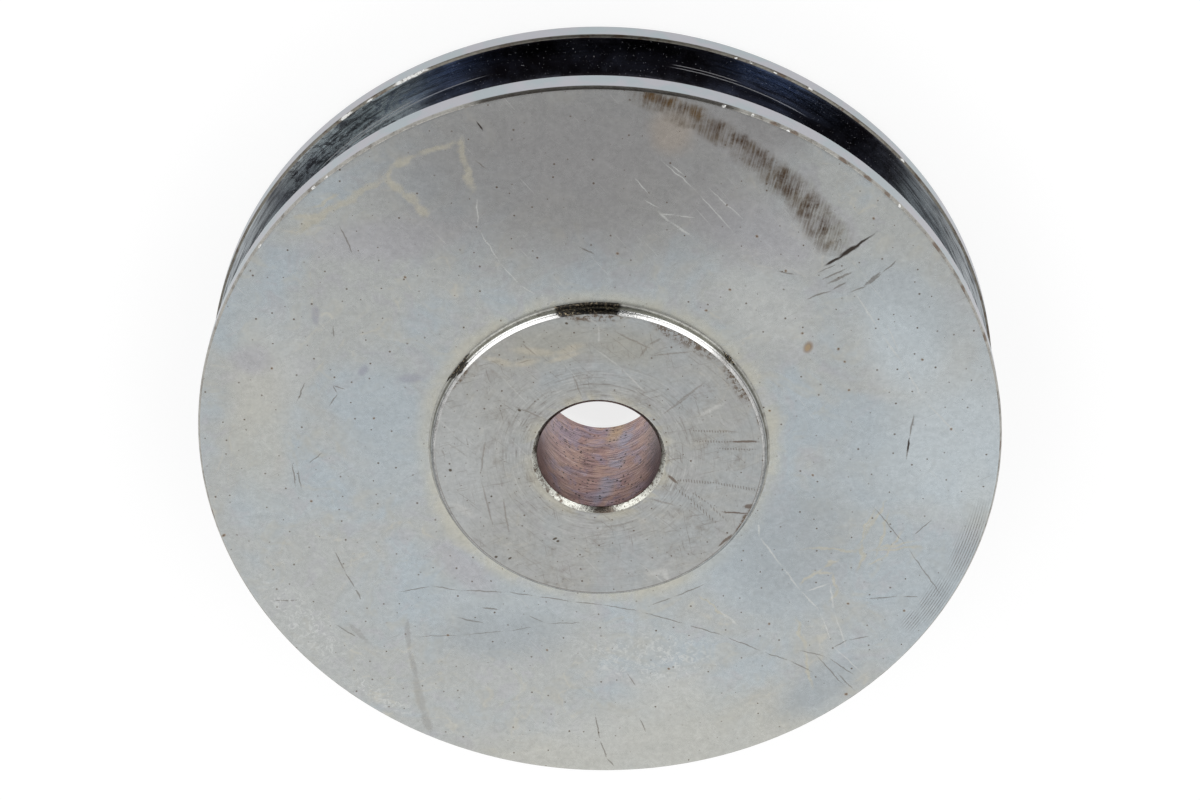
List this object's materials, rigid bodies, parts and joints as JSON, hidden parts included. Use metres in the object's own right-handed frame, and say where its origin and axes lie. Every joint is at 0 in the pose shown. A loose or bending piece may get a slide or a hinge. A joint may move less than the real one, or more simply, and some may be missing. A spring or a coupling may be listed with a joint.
{
  "type": "wire rope sheave",
  "caption": "Solid turned sheave for wire rope: a disc with a round-bottomed rope groove in its rim, a low hub boss on each side and a plain chamfered bore.",
  "frame": {"origin": "middle of the bore, on its axis, halfway between the two hub faces", "axes": "+Z along the bore axis, out of the hub face that is up; X and Y are any two square directions, because the sheave is round"},
  "size_m": [0.165, 0.165, 0.0334],
  "materials": {
    "zinc_plated_steel": "steel turned all over, thinly zinc plated and passivated blue with yellow patches, used: stained, rubbed and nicked at the rim"
  },
  "bodies": {
    "root": {"sheave": "zinc_plated_steel"}
  },
  "joints": []
}
